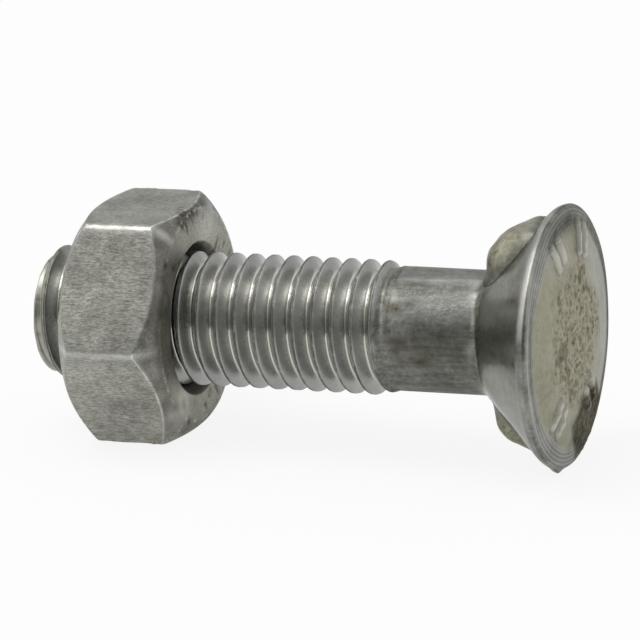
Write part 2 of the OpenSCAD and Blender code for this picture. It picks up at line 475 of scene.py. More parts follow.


# Marks of the blank. The face keeps its scale, bare on the side at 270 degrees and ringed with turning
# marks at the margin. The rim is filmed, with a painted highlight at one place and painted shade further
# round. The shank is worn lighter along a line and a band near its top, with a painted sheen high on its
# near side and painted shade at mid height on that side.
def blankMarks(points, along, radius, angle, zone, raised, edge):
    onFace, onCone, onRim, onShank = (zone[key] for key in ("face", "cone", "rim", "shank"))
    middle, darkPatch = zone["middle"], zone["darkPatch"]
    # a painted highlight at one place on the rim, and painted shade further round it
    paintedRimHighlight = onRim * stripe(angle, *blank["paintedRimHighlight"])
    paintedRimShade = onRim * stripe(angle, *blank["paintedRimShade"])
    # painted shade on the cone beside each nib
    creaseShade = 0
    for nib in nibs["pair"]:
        across = np.abs(radius * np.sin(angle - nib["angle"])) - nib["width"] / 2
        creaseShade = np.maximum(creaseShade, stripe(across, 0.3, 0.42) * (np.cos(angle - nib["angle"]) > 0))
    kept = ease(0.75, 0.95, np.sin(angle))  # the side at 90 degrees has kept its scale up to the rim
    bare = ease(0.3, 0.8, -np.sin(angle)) * ease(4.6, 6.2, radius)
    turnedMark = np.sin(2 * np.pi * radius / blank["ringPitch"])
    ringed = onFace * ease(7.9, 8.5, radius) * (1 - 0.25 * kept) * (0.62 + 0.38 * turnedMark)
    wideRings = ease(-0.4, 0.9, np.sin(radius * 7.3) + 0.5 * np.sin(radius * 17))
    ringed = ringed + 0.6 * onFace * kept * ease(5.2, 6.2, radius) * wideRings
    scaled = onFace * ease(8.6, 7.8, radius - 0.25 * kept) * (1 - edge) * (1 - darkPatch) * (1 - 0.8 * bare)
    # a worn band near the top, with a painted sheen high on the near side
    wearAndSheen = stripe(angle, *blank["wornTrack"]) + 0.6 * stripe(angle, *blank["paintedSheenSide"])
    wearAndSheen = wearAndSheen + 0.5 * ease(0.95, 0.99, np.cos(angle))
    brokenUp = ease(-0.8, 0.6, ripple(points * [0.3, 1, 1], 1.0, 53))
    wornLine = onShank * stripe(angle, *blank["wornLine"]) * brokenUp
    # painted shade at mid height on the near side, through the stain mark
    shade = onShank * stripe(angle, *blank["paintedShadeSide"])
    scuff = spots(points, blank["scuffs"])
    rimPolishAndHighlight = 0.3 * onRim * ease(-0.6, 0.8, ripple(points, 3.0, 46)) + 0.5 * paintedRimHighlight
    shankFilmAndSheen = ease(-5.6, -6.3, along) * (1 - 0.45 * wearAndSheen)
    rimFilmAndShade = (onRim - paintedRimHighlight) * (0.5 + 0.3 * ripple(points, 2.2, 47)) + 0.45 * paintedRimShade
    # film here includes painted shade round the feet of the bars
    faceFilmAndShade = ringed + onFace * (edge + 0.35 * bare) + darkPatch
    # darker on the margin of the far side
    farMarginDark = 0.6 * onFace * bare * ease(7.9, 8.5, radius)
    middleStain = 0.45 * middle * ease(0.7, 1.5, ripple(points, 1.5, 30) + ripple(points, 4.0, 31))
    return {
        # the tops of the bars get a painted highlight, as polish and as bright flecks
        "polishAndHighlight": np.clip(rimPolishAndHighlight + 0.3 * wornLine + onFace * raised * 0.7, 0, 1),
        "gloss": 0.9 * onCone,
        "rough": np.clip(middle + onShank + 0.6 * onRim + 0.6 * onFace * bare + 0.6 * darkPatch, 0, 1),
        "scale": np.clip(0.3 * onCone + scaled, 0, 1),
        "film": np.clip(shankFilmAndSheen + 0.5 * onCone + rimFilmAndShade + faceFilmAndShade + creaseShade * onCone, 0, 1),
        "scratch": np.clip(onShank * 0.4 * scuff + onFace * (0.5 * raised + 0.3 * bare), 0, 1),
        "stain": np.clip(rustOn(points) + 0.3 * shade + 1.1 * darkPatch + farMarginDark + middleStain, 0, 1),
    }


# A rectangle's rim with its four corners as points that a quarter circle turns about:
# places on the rim, and the direction square to it at each
def cornerRim(halfLong, halfWide):
    quarter = np.linspace(0, math.pi / 2, 13)
    t = np.linspace(0, 1, 9)[1:-1, None]
    corners = np.array([(1, 1), (-1, 1), (-1, -1), (1, -1), (1, 1)]) * [halfLong, halfWide]
    core, normal = [], []
    for n in range(4):
        a = quarter + n * math.pi / 2
        core += [np.repeat(corners[n:n + 1], len(a), 0), corners[n] * (1 - t) + corners[n + 1] * t]
        normal += [np.stack([np.cos(a), np.sin(a)], -1),
                   np.repeat([[math.cos(a[-1]), math.sin(a[-1])]], len(t), 0)]
    return np.concatenate(core), np.concatenate(normal)


# A nib is a rounded box laid along the cone: a rectangle's rim carried out and down by a quarter
# circle, its top on the ridge line, and its walls flaring where they meet the cone
def nibShell(spec, cone):
    size = spec["round"]
    core, normal = cornerRim((spec["back"] - spec["front"]) / 2 - size, spec["width"] / 2 - size)
    count = len(core)
    rings = [np.column_stack([core * t, np.zeros(count)]) for t in np.linspace(0.04, 1, 12)]
    for a in np.linspace(0, math.pi / 2, 14)[1:]:
        drop = np.full(count, size * (1 - math.cos(a)))
        rings.append(np.column_stack([core + normal * size * math.sin(a), drop]))
    for t in np.linspace(0, 1, 22)[1:]:
        out, down = size + nibs["wallLean"] * t, size + nibs["wallDepth"] * t
        rings.append(np.column_stack([core + normal * out, np.full(count, down)]))
    local = np.stack(rings, 1)
    deep = local[..., 2]
    along = (spec["front"] + spec["back"]) / 2 + local[..., 0]
    ridge = np.array(nibs["ridge"])
    curve = np.polyfit(*ridge.T, 3)
    reach = np.polyval(curve, np.clip(along, ridge[0, 0], ridge[-1, 0])) + spec["grow"]
    high = reach - deep
    side = local[..., 1]
    coneHigh = np.maximum(np.interp(along, cone[::-1, 0], cone[::-1, 1]), bolt["shankRadius"])
    above = np.hypot(high, side) - coneHigh
    flare = nibs["flare"] * np.exp(-np.clip(above, 0, None) / nibs["flare"])
    wall = np.repeat(normal[:, None], local.shape[1], 1) * (deep > size * 0.3)[..., None]
    along = along + wall[..., 0] * flare
    side = side + wall[..., 1] * flare
    angle = np.array(spec["angle"])
    up, across = outward(angle), outward(angle + math.pi / 2)
    points = up * high[..., None] + across * side[..., None]
    points[..., 0] = along
    lumps = ripples(points, [(*lump, spec["seed"] + n) for n, lump in enumerate(nibs["lumps"])])
    points = points + (lumps - nibs["worn"])[..., None] * (up + [-0.35, 0, 0])
    columns, rows = points.shape[:2]
    hubs = np.stack([points[:, 0].mean(0), points[:, -1].mean(0)])
    marksOf = tubeMarks(nibMarks(points, above, deep))
    return np.concatenate([points.reshape(-1, 3), hubs]), tubeFaces(columns, rows, flip=True), marksOf


# Marks of a nib: scale that gives way to painted shade near the cone and to film in patches, by the
# height above the cone
def nibMarks(points, above, deep):
    patches = ease(0.2, 1.1, ripple(points, 1.5, 52))
    # painted shade where the nib meets the cone, as film in place of scale
    nibCreaseShade = ease(1.3, 0.2, above)
    return {
        "polishAndHighlight": 0.25 * ease(0.35, 0.0, deep) * ease(0.2, 1.0, ripple(points, 1.2, 49)),
        "gloss": 0 * above,
        "rough": 0.45 + 0 * above,
        "scale": 1.0 - 0.9 * nibCreaseShade - 0.3 * patches * ease(0.2, 1.3, above),
        "film": np.clip(ease(1.4, 0.2, above) + 0.5 * patches, 0, 1),
        "scratch": 0 * above,
        "stain": 0.3 * ease(0.75, 1.5, ripple(points, 1.3, 50) + ripple(points, 3.0, 51)),
    }


nut = {
    "flats": 16.8,
    "height": 8.0,
    "bearing": -29.45,       # along the axis, the face towards the head
    "bearingRadius": 7.85,
    "backRadius": 7.7,
    "chamferOff": 0.3,       # the chamfer was turned a little off centre
    "chamferSlope": 0.76,
    "chamferBulge": 0.14,
    "mouthRadius": 5.7,
    "mouthDeep": 1.1,
    "boreRoot": 5.05,
    "boreCrest": 4.32,
    "edgeRound": 0.1,
    "cornerPower": 110,      # the higher, the sharper the hexagon's corners
    "rowGap": 0.42,
    # unevenness: size, depth and seed
    "cornerLayers": [(1.6, 0.02, 31), (0.6, 0.015, 32)],
    "cornerWorn": 0.02,
    "sideLayers": [(9.0, 0.025, 33)],
    "sideWorn": 0.015,
    "endLayers": [(2.2, 0.012, 34)],
    "endWorn": 0.006,
    "pitDepth": 0.07,
    # wear: spots with a centre, widths and strength
    "torn": [((-29.45, -0.5, 8.0), (1.0, 1.9, 0.9), 1)],       # an edge torn in pressing
    "rubbed": [((-29.45, 2.6, 6.0), (0.5, 1.6, 1.2), 1)],
    "lowFace": [((-29.45, -4.6, -5.4), (1.5, 1.8, 1.4), 1), ((-29.45, -6.0, 3.2), (1.2, 1.2, 1.2), 1)],
    "stains": [((-34.5, -3.5, -8.2), (1.8, 1.6, 1.0), 0.5), ((-33.5, 0, -8.6), (4, 9, 1.0), 0.5)],
    # wear, and where painted light falls on the corners: angles round the nut, with a width
    "scratchLine": (math.radians(132.4), 0.011),
    "cornerFoot": (math.radians(38), 0.16),
    "paintedLightEdge": math.radians(30),
}


# Distance from the axis to the hexagon: flat distance over the cosine from the nearest flat's middle,
# where a power sum with the next flat's cosine rounds the corner
def hexRadius(spec, angle):
    local = (angle + math.pi / 6) % (math.pi / 3) - math.pi / 6
    here = np.cos(local)
    other = np.cos(math.pi / 3 - np.abs(local))
    power = spec["cornerPower"]
    return spec["flats"] / 2 / (here ** power + other ** power) ** (1 / power)


# Bends a chain of corners, each an array over the columns: every corner is cut back by its reach
# and bridged by a quadratic curve
def bentChain(corners, reaches, steps):
    rows = [corners[0]]
    for before, corner, after, reach in zip(corners[:-2], corners[1:-1], corners[2:], reaches):
        toBefore, toAfter = before - corner, after - corner
        start, stop = [corner + side * np.minimum(reach / np.linalg.norm(side, axis=-1, keepdims=True), 0.45)
                       for side in (toBefore, toAfter)]
        rows += [start * (1 - t) ** 2 + corner * 2 * t * (1 - t) + stop * t * t
                 for t in np.linspace(0, 1, steps)]
    return rows + [corners[-1]]


# Fills each gap between two rows with even rows no further apart than the gap
def fillRows(rows, gap):
    filled = [rows[0]]
    for before, after in zip(rows[:-1], rows[1:]):
        widest = np.linalg.norm(after - before, axis=-1).max()
        steps = max(1, math.ceil(widest / gap))
        filled += [before * (1 - t) + after * t for t in np.linspace(0, 1, steps + 1)[1:]]
    return filled


# The nut's outer outline at each column, as (along from the bearing face, radius): front mouth, bearing
# face, chamfer with a slight bulge, flat, chamfer, back face and back mouth.
# Each chamfer goes as deep as the hexagon stands out past the face's round edge, times its slope.
def nutOutline(spec, hexOut, front, back):
    high, mouth, root = spec["height"], spec["mouthRadius"], spec["boreRoot"]
    frontDeep, backDeep = [np.maximum(hexOut - r, 0.04) * spec["chamferSlope"] for r in (front, back)]
    bulge = spec["chamferBulge"] * frontDeep / 1.4
    full = np.ones(len(hexOut))
    corners = [np.stack([a * full, r * full], -1) for a, r in (
        (-spec["mouthDeep"], root),
        (0, mouth),
        (0, front),
        (-frontDeep * 0.4 + bulge, front * 0.5 + hexOut * 0.5 + bulge),
        (-frontDeep, hexOut),
        (-high + backDeep, hexOut),
        (-high, back),
        (-high, mouth),
        (-high + spec["mouthDeep"], root))]
    reaches = [0.1, 0.25, 0.8, spec["edgeRound"], spec["edgeRound"], 0.3, 0.1]
    return np.stack(fillRows(bentChain(corners, reaches, 5), spec["rowGap"]), 1), frontDeep


# The nut is a closed ring: each column's outline runs from the front mouth over the outside to the back
# mouth, then home through the threaded bore, whose thread follows the bolt's own helix
def nutShell(spec, columns=324, boreRows=120):
    even = np.arange(columns) / columns
    crowd = 0.6 / (12 * np.pi) * np.sin(12 * np.pi * (even + 1 / 12))  # more columns at the corners
    angle = (even + crowd) * 2 * np.pi
    hexOut = hexRadius(spec, angle)
    high = spec["height"]
    off = spec["chamferOff"] * np.cos(angle + math.pi / 4)
    front, back = spec["bearingRadius"] + off, spec["backRadius"] - off
    outer, frontDeep = nutOutline(spec, hexOut, front, back)
    boreAlong = np.linspace(-high + spec["mouthDeep"], -spec["mouthDeep"], boreRows)[1:-1]
    bore = np.stack(np.broadcast_arrays(boreAlong, np.full((columns, 1), spec["boreRoot"])), -1)
    outline = np.concatenate([outer, bore], 1)
    behind = outline[..., 0]
    along = behind + spec["bearing"]
    angles = np.repeat(angle[:, None], along.shape[1], 1)
    inside = np.zeros(along.shape)
    inside[:, outer.shape[1] - 1:] = inside[:, 0] = 1
    phase = (along + bolt["length"]) / bolt["pitch"] - (angles - bolt["threadStart"]) / (2 * np.pi)
    depth = np.minimum(-behind, high + behind) - spec["mouthDeep"]
    leadIn = spec["boreRoot"] - 1.2 * np.clip(depth, 0, None)
    cut = np.maximum(threadRadius(phase, spec["boreRoot"], spec["boreCrest"]), leadIn)
    radius = np.where(inside > 0, cut, outline[..., 1])
    points = turned(along, radius, angles)
    onSide = ease(7.7, 8.3, radius) * (1 - inside)
    corner = stripe(hexOut[:, None], hexOut.max(), 0.13) * onSide
    radius = radius + corner * (ripples(points, spec["cornerLayers"]) - spec["cornerWorn"])
    radius = radius + onSide * (ripples(points, spec["sideLayers"]) - spec["sideWorn"])
    onEnds = (1 - onSide) * (1 - inside)
    torn = ease(0.2, 0.5, spots(points, nut["torn"]) * (1 - inside))
    torn = torn * ease(-0.5, 0.5, ripple(points, 0.7, 41))
    pits = onEnds * ease(0.9, 1.6, ripple(points, 1.0, 35) + ripple(points, 3.0, 36))
    pits = np.maximum(pits, torn)
    lift = onEnds * ripples(points, spec["endLayers"]) - spec["pitDepth"] * (pits + torn) - spec["endWorn"]
    along = along + np.sign(behind + high / 2) * lift
    points = turned(along, radius, angles)
    zone = {"side": onSide, "ends": onEnds, "corner": corner, "pits": pits}
    marksOf = nutMarks(points, radius - front[:, None], behind, frontDeep[:, None], angles, zone)
    count = points.shape[1]
    c, r = np.meshgrid(np.arange(columns), np.arange(count), indexing="ij")
    n, s = (c + 1) % columns, (r + 1) % count
    faces = np.stack([c * count + r, c * count + s, n * count + s, n * count + r], -1).reshape(-1, 4)
    return points.reshape(-1, 3), faces, {key: value.ravel() for key, value in marksOf.items()}


# Marks of the nut: corners and chamfer lines worn bright in broken lines, with a painted highlight on
# the corners round 30 degrees and painted shade on the others, a darker band at the edge of the bearing
# face, painted shade in the mouth, and stained end faces with pits.
# past is the radius beyond the bearing face's round edge, deep the chamfer's depth.
def nutMarks(points, past, behind, deep, angles, zone):
    onSide, onEnds, corner, pits = (zone[key] for key in ("side", "ends", "corner", "pits"))
    broken = ease(-0.5, 0.7, ripple(points, 1.1, 39) + 0.6 * ripple(points, 3.5, 40))
    frontRim = np.exp(-((past / 0.12) ** 2 + (behind / 0.15) ** 2))
    flatEnd = stripe(behind, -deep, 0.06) * onSide * (0.35 + 0.65 * broken)
    line = 0.6 * onSide * broken * stripe(angles, *nut["scratchLine"])
    cornerFoot = flatEnd * stripe(angles, *nut["cornerFoot"])
    radius = np.hypot(points[..., 1], points[..., 2])
    # painted shade in the mouth, lighter at its top
    mouth = ease(5.75, 5.55, radius) * (1 - 0.6 * ease(0.0, 0.8, np.cos(angles)))
    # a darker band at the edge of the bearing face and over the chamfer
    darkEdgeBand = ease(-0.7, 0.3, past) * ease(0.1, -0.2, -behind - deep)
    darkEdgeBand = darkEdgeBand * (0.7 + 0.4 * ripple(points, 2.0, 48))
    rubbed = spots(points, nut["rubbed"])
    # this marks the corners round 30 degrees, which get a painted highlight; the others get painted shade as
    # film
    paintedLitSide = ease(0.0, 0.7, np.cos(angles - nut["paintedLightEdge"]))
    lowFace = spots(points, nut["lowFace"])
    worn = corner * paintedLitSide * (0.4 + 0.3 * ripple(points, 2.5, 37)) + 0.8 * flatEnd + 0.5 * cornerFoot
    scratched = 0.8 * corner * (1 - 0.5 * paintedLitSide) + flatEnd + line + 0.9 * frontRim * broken
    stained = 0.9 * lowFace + spots(points, nut["stains"])
    return {
        "polishAndHighlight": np.clip(worn + 0.1 * rubbed + 0.4 * lowFace, 0, 1),
        "gloss": 0.0 * onEnds,
        "rough": np.clip(pits + 0.6 * onEnds + 0.5 * corner * (1 - paintedLitSide), 0, 1),
        "scale": 0.4 * onEnds,
        "film": np.clip(mouth + 0.8 * pits + 0.5 * corner * (1 - paintedLitSide) + 0.65 * darkEdgeBand, 0, 1),
        "scratch": np.clip(scratched + 0.5 * rubbed, 0, 1),
        "stain": np.clip(stained * ease(-0.6, 1.0, ripple(points, 1.4, 38)), 0, 1),
    }


# sRGB hex to a linear colour: a straight line for the darkest values, a power of 2.4 above
def toLinear(code):
    values = [int(code[i:i + 2], 16) / 255 for i in (1, 3, 5)]
    return tuple(v / 12.92 if v <= 0.04045 else ((v + 0.055) / 1.055) ** 2.4 for v in values) + (1.0,)


# Adds a node, sets its settings, and fills its inputs with values, with sockets, or with the first
# output of other nodes; stops are a colour ramp's
def addNode(tree, kind, inputs=None, stops=(), **settings):
    node = tree.nodes.new("ShaderNode" + kind)
    for key, value in settings.items():
        setattr(node, key, value)
    for key, value in (inputs or {}).items():
        if isinstance(value, bpy.types.Node):
            value = value.outputs[0]
        if isinstance(value, bpy.types.NodeSocket):
            tree.links.new(value, node.inputs[key])
        else:
            node.inputs[key].default_value = value
    for n, (position, colour) in enumerate(stops):
        if n >= len(node.color_ramp.elements):
            node.color_ramp.elements.new(position)
        node.color_ramp.elements[n].position = position
        node.color_ramp.elements[n].color = toLinear(colour)
    return node


# A material with the marks of the mesh and its own coordinates ready to use. The marks are polish for
# worn bright metal and painted highlights, gloss for a smoother finish, rough for relief and a duller
# one, scale for khaki forging scale, film for dark film and painted shade, scratch for bright flecks,
# some of them painted highlights, and stain for rust or dirt and some painted shade.
def startMaterial(name):
    material = bpy.data.materials.new(name)
    material.use_nodes = True
    tree = material.node_tree
    tree.nodes.clear()
    place = addNode(tree, "TexCoord").outputs["Object"]
    marksOf = {key: addNode(tree, "Attribute", attribute_name=key).outputs["Fac"]
               for key in ("polishAndHighlight", "gloss", "rough", "scale", "film", "scratch", "stain")}
    return material, tree, place, marksOf


# pattern sizes are millimetres, and each ramp of colours runs from the pattern's hollows to its tops
forgedLook = {
    "cloudSize": 3.2,        # blotches of the skin
    "fineSize": 0.42,        # grit of the skin, really about 0.1 and too fine to show, so drawn coarser
    "drawnSize": 0.32,       # lines that drawing leaves along the bar, drawn coarser too
    "drawnStretch": (0.12, 1, 1),
    "speckSize": 0.15,       # torn flecks in worn places, a little coarser than real too
    "steel": [(0.32, "#a7a8a5"), (0.52, "#b5b6b3"), (0.72, "#bfc0bd")],
    "drawnLines": [(0.35, "#d6d5cf"), (0.6, "#ffffff")],
    # dark film, also the colour of painted shade
    "film": [(0.38, "#62635c"), (0.5, "#7c7d77"), (0.62, "#979893")],
    "scale": [(0.38, "#83806e"), (0.5, "#97957f"), (0.62, "#a3a192")],
    "pittedScale": [(0.36, "#6c654f"), (0.48, "#a09b85"), (0.62, "#b6b3a2")],
    # rust, stains and dark patches, also the colour of painted shade on the shank
    "rust": [(0.42, "#45422f"), (0.62, "#5e533c")],
    # worn metal, also the colour of painted highlights
    "worn": "#dedcd4",
    "wornShare": 0.7,
    "roughness": (0.3, 0.42),
    "bumpDepth": 0.022,
}


# Bare carbon steel, forged, turned and rolled: bright satin grey on the thread, a mottled dark film on
# the shank and round the face, khaki scale on nibs and the face's middle, and a few rust spots
def forgedSteel(look):
    material, tree, place, marksOf = startMaterial("forged_carbon_steel")
    cloud = addNode(tree, "TexNoise", {
        "Vector": place, "Scale": 1 / (look["cloudSize"] * mm), "Detail": 5.0, "Roughness": 0.6})
    fine = addNode(tree, "TexNoise", {
        "Vector": place, "Scale": 1 / (look["fineSize"] * mm), "Detail": 4.0, "Roughness": 0.65})
    pulled = addNode(tree, "Mapping", {"Vector": place, "Scale": look["drawnStretch"]})
    drawn = addNode(tree, "TexNoise", {
        "Vector": pulled, "Scale": 1 / (look["drawnSize"] * mm), "Detail": 3.0, "Roughness": 0.6})
    steel = addNode(tree, "ValToRGB", {"Fac": cloud}, look["steel"])
    lines = addNode(tree, "ValToRGB", {"Fac": drawn}, look["drawnLines"])
    mottle = addNode(tree, "Math", {0: cloud, 1: fine}, operation="ADD")
    mottle = addNode(tree, "Math", {0: mottle, 1: 0.5}, operation="MULTIPLY")
    film = addNode(tree, "ValToRGB", {"Fac": mottle}, look["film"])
    film = addNode(tree, "Mix", {0: 0.9, 6: film, 7: lines}, data_type="RGBA",
                   blend_type="MULTIPLY").outputs[2]
    colour = addNode(tree, "Mix", {0: marksOf["film"], 6: steel, 7: film}, data_type="RGBA").outputs[2]
    scale = addNode(tree, "ValToRGB", {"Fac": mottle}, look["scale"])
    colour = addNode(tree, "Mix", {0: marksOf["scale"], 6: colour, 7: scale}, data_type="RGBA").outputs[2]
    pitted = addNode(tree, "ValToRGB", {"Fac": fine}, look["pittedScale"])
    onPits = addNode(tree, "Math", {0: marksOf["rough"], 1: marksOf["scale"]}, operation="MULTIPLY")
    colour = addNode(tree, "Mix", {0: onPits, 6: colour, 7: pitted}, data_type="RGBA").outputs[2]
    speck = addNode(tree, "TexNoise", {
        "Vector": place, "Scale": 1 / (look["speckSize"] * mm), "Detail": 2.0, "Roughness": 0.6})
    flecks = addNode(tree, "MapRange", {"Value": speck, "From Min": 0.53, "From Max": 0.66})
    flecks = addNode(tree, "Math", {0: marksOf["scratch"], 1: flecks}, operation="MULTIPLY")
    bright = addNode(tree, "Math", {0: marksOf["polishAndHighlight"], 1: flecks}, operation="MAXIMUM")
    bright = addNode(tree, "Math", {0: bright, 1: look["wornShare"]}, operation="MULTIPLY")
    worn = toLinear(look["worn"])
    colour = addNode(tree, "Mix", {0: bright, 6: colour, 7: worn}, data_type="RGBA").outputs[2]
    patchy = addNode(tree, "MapRange", {"Value": fine, "From Min": 0.35, "From Max": 0.6, "To Min": 0.5})
    rusty = addNode(tree, "Math", {0: marksOf["stain"], 1: patchy}, operation="MULTIPLY")
    rustColour = addNode(tree, "ValToRGB", {"Fac": cloud}, look["rust"])
    colour = addNode(tree, "Mix", {0: rusty, 6: colour, 7: rustColour}, data_type="RGBA").outputs[2]
    smooth, rough = look["roughness"]
    dull = addNode(tree, "MapRange", {
        "Value": fine, "From Min": 0.3, "From Max": 0.7, "To Min": smooth, "To Max": rough})
    dull = addNode(tree, "Math", {0: marksOf["rough"], 1: 0.16, 2: dull}, operation="MULTIPLY_ADD")
    dull = addNode(tree, "Math", {0: marksOf["gloss"], 1: -0.2, 2: dull}, operation="MULTIPLY_ADD")
    dull = addNode(tree, "Math", {0: rusty, 1: 0.25, 2: dull}, operation="MULTIPLY_ADD")
    relief = addNode(tree, "Math", {0: fine, 1: marksOf["rough"]}, operation="MULTIPLY")
    streaks = addNode(tree, "Math", {0: drawn, 1: marksOf["film"]}, operation="MULTIPLY")
    streaks = addNode(tree, "Math", {0: streaks, 1: 0.5}, operation="MULTIPLY")
    height = addNode(tree, "Math", {0: relief, 1: 5.0, 2: streaks}, operation="MULTIPLY_ADD")
    height = addNode(tree, "Math", {0: mottle, 1: 0.6, 2: height}, operation="MULTIPLY_ADD")
    bump = addNode(tree, "Bump", {"Height": height, "Strength": 0.6, "Distance": look["bumpDepth"] * mm})
    shader = addNode(tree, "BsdfPrincipled", {
        "Base Color": colour, "Metallic": 1.0, "Roughness": dull, "Normal": bump})
    addNode(tree, "OutputMaterial", {"Surface": shader})
    return material


satinLook = {
    "cloudSize": 3.0,
    "fineSize": 0.1,         # grain of the flats, really about 0.03 and too fine to show, so drawn coarser
    "grainSize": 0.2,
    "grainStretch": (0.3, 1, 1),
    "steel": [(0.34, "#a0a099"), (0.5, "#b6b6af"), (0.64, "#cacac3")],
    "grainLines": [(0.34, "#cfcfc9"), (0.62, "#ffffff")],
    "speckle": [(0.36, "#b4b4ae"), (0.5, "#dededa"), (0.62, "#ffffff")],
    "endFilm": [(0.36, "#7f7c6a"), (0.6, "#a3a292")],
    # dark film, also the colour of painted shade in the mouth and on some corners
    "darkFilm": "#5a5850",
    # worn metal, also the colour of painted highlights on the corners round 30 degrees
    "worn": "#e2e2dc",
    "stain": "#6e6448",
    "roughness": (0.36, 0.48),
    "bumpDepth": 0.022,
}


# Bare steel of a pressed and turned nut: even satin grey with fine grain along the flats, bright worn
# corners with a painted highlight on those round 30 degrees, and duller end faces with pits and olive
# stains
def satinSteel(look):
    material, tree, place, marksOf = startMaterial("satin_nut_steel")
    cloud = addNode(tree, "TexNoise", {
        "Vector": place, "Scale": 1 / (look["cloudSize"] * mm), "Detail": 6.0, "Roughness": 0.68})
    pulled = addNode(tree, "Mapping", {"Vector": place, "Scale": look["grainStretch"]})
    fine = addNode(tree, "TexNoise", {
        "Vector": pulled, "Scale": 1 / (look["fineSize"] * mm), "Detail": 3.0, "Roughness": 0.8})
    grain = addNode(tree, "TexNoise", {
        "Vector": pulled, "Scale": 1 / (look["grainSize"] * mm), "Detail": 4.0, "Roughness": 0.62})
    steel = addNode(tree, "ValToRGB", {"Fac": cloud}, look["steel"])
    lines = addNode(tree, "ValToRGB", {"Fac": grain}, look["grainLines"])
    steel = addNode(tree, "Mix", {0: 0.7, 6: steel, 7: lines}, data_type="RGBA",
                    blend_type="MULTIPLY").outputs[2]
    speckle = addNode(tree, "ValToRGB", {"Fac": fine}, look["speckle"])
    steel = addNode(tree, "Mix", {0: 0.78, 6: steel, 7: speckle}, data_type="RGBA",
                    blend_type="MULTIPLY").outputs[2]
    film = addNode(tree, "ValToRGB", {"Fac": fine}, look["endFilm"])
    darkFilm, worn, stain = (toLinear(look[key]) for key in ("darkFilm", "worn", "stain"))
    colour = addNode(tree, "Mix", {0: marksOf["scale"], 6: steel, 7: film}, data_type="RGBA").outputs[2]
    colour = addNode(tree, "Mix", {0: marksOf["film"], 6: colour, 7: darkFilm}, data_type="RGBA").outputs[2]
    flecks = addNode(tree, "MapRange", {"Value": fine, "From Min": 0.45, "From Max": 0.56})
    flecks = addNode(tree, "Math", {0: marksOf["scratch"], 1: flecks}, operation="MULTIPLY")
    bright = addNode(tree, "Math", {0: marksOf["polishAndHighlight"], 1: flecks}, operation="MAXIMUM")
    colour = addNode(tree, "Mix", {0: bright, 6: colour, 7: worn}, data_type="RGBA").outputs[2]
    patchy = addNode(tree, "MapRange", {"Value": fine, "From Min": 0.35, "From Max": 0.6, "To Min": 0.3})
    stained = addNode(tree, "Math", {0: marksOf["stain"], 1: patchy}, operation="MULTIPLY")
    colour = addNode(tree, "Mix", {0: stained, 6: colour, 7: stain}, data_type="RGBA").outputs[2]
    smooth, rough = look["roughness"]
    dull = addNode(tree, "MapRange", {
        "Value": fine, "From Min": 0.3, "From Max": 0.7, "To Min": smooth, "To Max": rough})
    dull = addNode(tree, "Math", {0: marksOf["rough"], 1: 0.08, 2: dull}, operation="MULTIPLY_ADD")
    dull = addNode(tree, "Math", {0: marksOf["polishAndHighlight"], 1: -0.18, 2: dull}, operation="MULTIPLY_ADD")
    height = addNode(tree, "Math", {0: fine, 1: 0.5, 2: grain}, operation="MULTIPLY_ADD")
    height = addNode(tree, "Math", {0: cloud, 1: 1.5, 2: height}, operation="MULTIPLY_ADD")
    bump = addNode(tree, "Bump", {"Height": height, "Strength": 0.6, "Distance": look["bumpDepth"] * mm})
    shader = addNode(tree, "BsdfPrincipled", {
        "Base Color": colour, "Metallic": 1.0, "Roughness": dull, "Normal": bump})
    addNode(tree, "OutputMaterial", {"Surface": shader})
    return material


boltSteel = forgedSteel(forgedLook)
nutSteel = satinSteel(satinLook)
print("materials made")

coneLine = stemOutline(bolt, faceOutline(bolt)[1])
blankShells = [blankShell(bolt)] + [nibShell(spec, coneLine) for spec in nibs["pair"]]
makePiece("bolt_blank", blankShells, boltSteel, "bolt", "bolt")
makePiece("bolt_thread", [threadShell(bolt)], boltSteel, "bolt", "bolt")
makePiece("nut_body", [nutShell(nut)], nutSteel, "nut", "hex_nut")

stand = {
    "rimTouch": (-1.2, -9.65),     # where the rim and the nut's lower flat rest: along, up
    "nutTouch": (-37.0, -8.4),
    "gap": 0.03,                   # the paper lies this far under those two
    "half": 1500.0,
    "seenWhite": 0.88,             # share of plain white that the camera sees in the paper
    "mirroredWhite": 0.46,         # the share that metal mirrors, lower in front for mirrored rays only, which darkens reflections there
    "front": (-0.04, -0.012),      # metres across the bolt, from the lowest mirrored white to the full one
    "frontShare": 0.34,            # the lowest mirrored white, as a share of the full one
}


